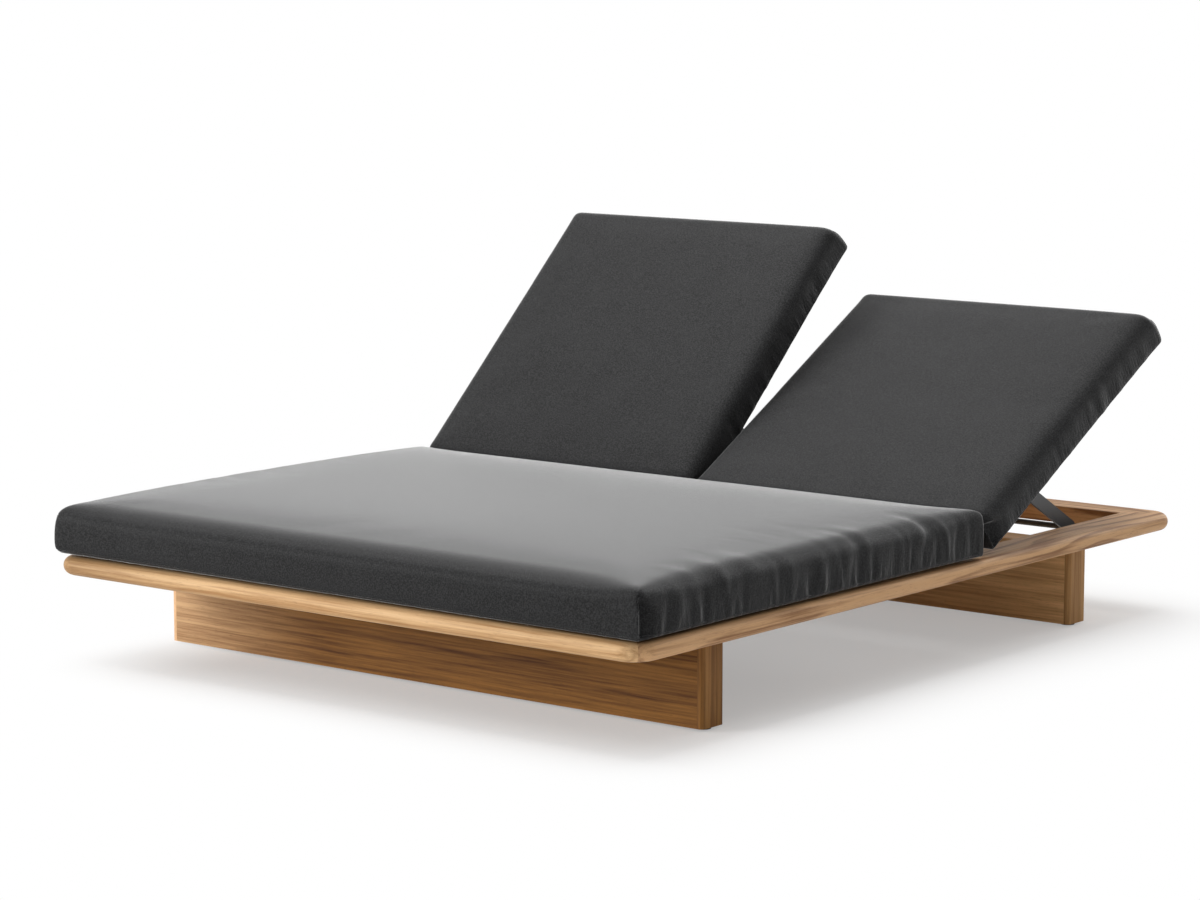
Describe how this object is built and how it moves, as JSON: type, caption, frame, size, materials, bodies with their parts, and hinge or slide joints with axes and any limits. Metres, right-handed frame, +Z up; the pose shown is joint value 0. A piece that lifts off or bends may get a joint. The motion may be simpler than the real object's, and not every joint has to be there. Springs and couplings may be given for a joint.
{
  "type": "double chaise lounger",
  "caption": "Low teak double lounger with slatted deck, full-width seat cushion and separately reclining backs, each held by a folding prop on notched racks.",
  "frame": {"origin": "on the floor under the middle of the rim's plan", "axes": "+X to the right seen from the foot end, +Y from the foot end to the head end, +Z up"},
  "size_m": [1.68, 2.136, 0.9038],
  "materials": {
    "teak": "oiled, fine sanded",
    "cushion_cloth": "matt woven cloth",
    "dark_metal": "satin powder coat",
    "steel": "brushed",
    "brass": "turned",
    "glide": "moulded"
  },
  "bodies": {
    "base": {"front_rail": "teak", "head_rail": "teak", "left_side_rail": "teak", "right_side_rail": "teak", "corner_splines": "teak", "centre_rail": "teak", "left_cross_rail": "teak", "right_cross_rail": "teak", "left_seat_slats": "teak", "right_seat_slats": "teak", "left_outer_ledger": "teak", "left_inner_ledger": "teak", "right_inner_ledger": "teak", "right_outer_ledger": "teak", "front_leg_front_board": "teak", "front_leg_back_board": "teak", "front_leg_end_boards": "teak", "front_leg_top_rail": "teak", "front_leg_bottom_rail": "teak", "rear_leg_front_board": "teak", "rear_leg_back_board": "teak", "rear_leg_end_boards": "teak", "rear_leg_top_rail": "teak", "rear_leg_bottom_rail": "teak", "front_leg_glides": "glide", "rear_leg_glides": "glide", "left_outer_rack": "dark_metal", "left_inner_rack": "dark_metal", "right_inner_rack": "dark_metal", "right_outer_rack": "dark_metal", "leg_bolts": "steel", "rack_screws": "steel", "hinge_pins": "steel", "hinge_spacers": "dark_metal", "seat_cushion": "cushion_cloth"},
    "left_back": {"left_back_outer_stile": "teak", "left_back_inner_stile": "teak", "left_back_bottom_rail": "teak", "left_back_mid_rail": "teak", "left_back_top_rail": "teak", "left_back_slats": "teak", "left_hinge_bushes": "brass", "left_prop_pivots": "steel"},
    "left_prop": {"left_prop_outer_arm": "dark_metal", "left_prop_inner_arm": "dark_metal", "left_prop_rod": "dark_metal"},
    "left_back_pad": {"left_back_cushion": "cushion_cloth"},
    "right_back": {"right_back_outer_stile": "teak", "right_back_inner_stile": "teak", "right_back_bottom_rail": "teak", "right_back_mid_rail": "teak", "right_back_top_rail": "teak", "right_back_slats": "teak", "right_hinge_bushes": "brass", "right_prop_pivots": "steel"},
    "right_prop": {"right_prop_outer_arm": "dark_metal", "right_prop_inner_arm": "dark_metal", "right_prop_rod": "dark_metal"},
    "right_back_pad": {"right_back_cushion": "cushion_cloth"}
  },
  "joints": [
    {"name": "left_back_recline", "type": "hinge", "parent": "base", "child": "left_back", "pos_m": [0, 0.243, 0.2175], "axis": [1, 0, 0], "range_deg": [-43.2, 3.95]},
    {"name": "left_prop_swing", "type": "hinge", "parent": "left_back", "child": "left_prop", "pos_m": [0, 0.47991, 0.43998], "axis": [1, 0, 0], "range_deg": [-7.9, 86.41]},
    {"name": "left_cushion_slide", "type": "slide", "parent": "left_back", "child": "left_back_pad", "axis": [0, 0.729, 0.6845], "range_m": [-0.08681, 0.00802]},
    {"name": "right_back_recline", "type": "hinge", "parent": "base", "child": "right_back", "pos_m": [0, 0.243, 0.2175], "axis": [1, 0, 0], "range_deg": [-28.9, 18.25]},
    {"name": "right_prop_swing", "type": "hinge", "parent": "right_back", "child": "right_prop", "pos_m": [0, 0.52753, 0.37457], "axis": [1, 0, 0], "range_deg": [-36.5, 57.81]},
    {"name": "right_cushion_slide", "type": "slide", "parent": "right_back", "child": "right_back_pad", "axis": [0, 0.8755, 0.4833], "range_m": [-0.05811, 0.03672]}
  ],
  "couplings": [
    {"joint": "left_prop_swing", "follows": "left_back_recline", "ratio": -2},
    {"joint": "left_cushion_slide", "follows": "left_back_recline", "m_per_rad": 0.115},
    {"joint": "right_prop_swing", "follows": "right_back_recline", "ratio": -2},
    {"joint": "right_cushion_slide", "follows": "right_back_recline", "m_per_rad": 0.115}
  ]
}
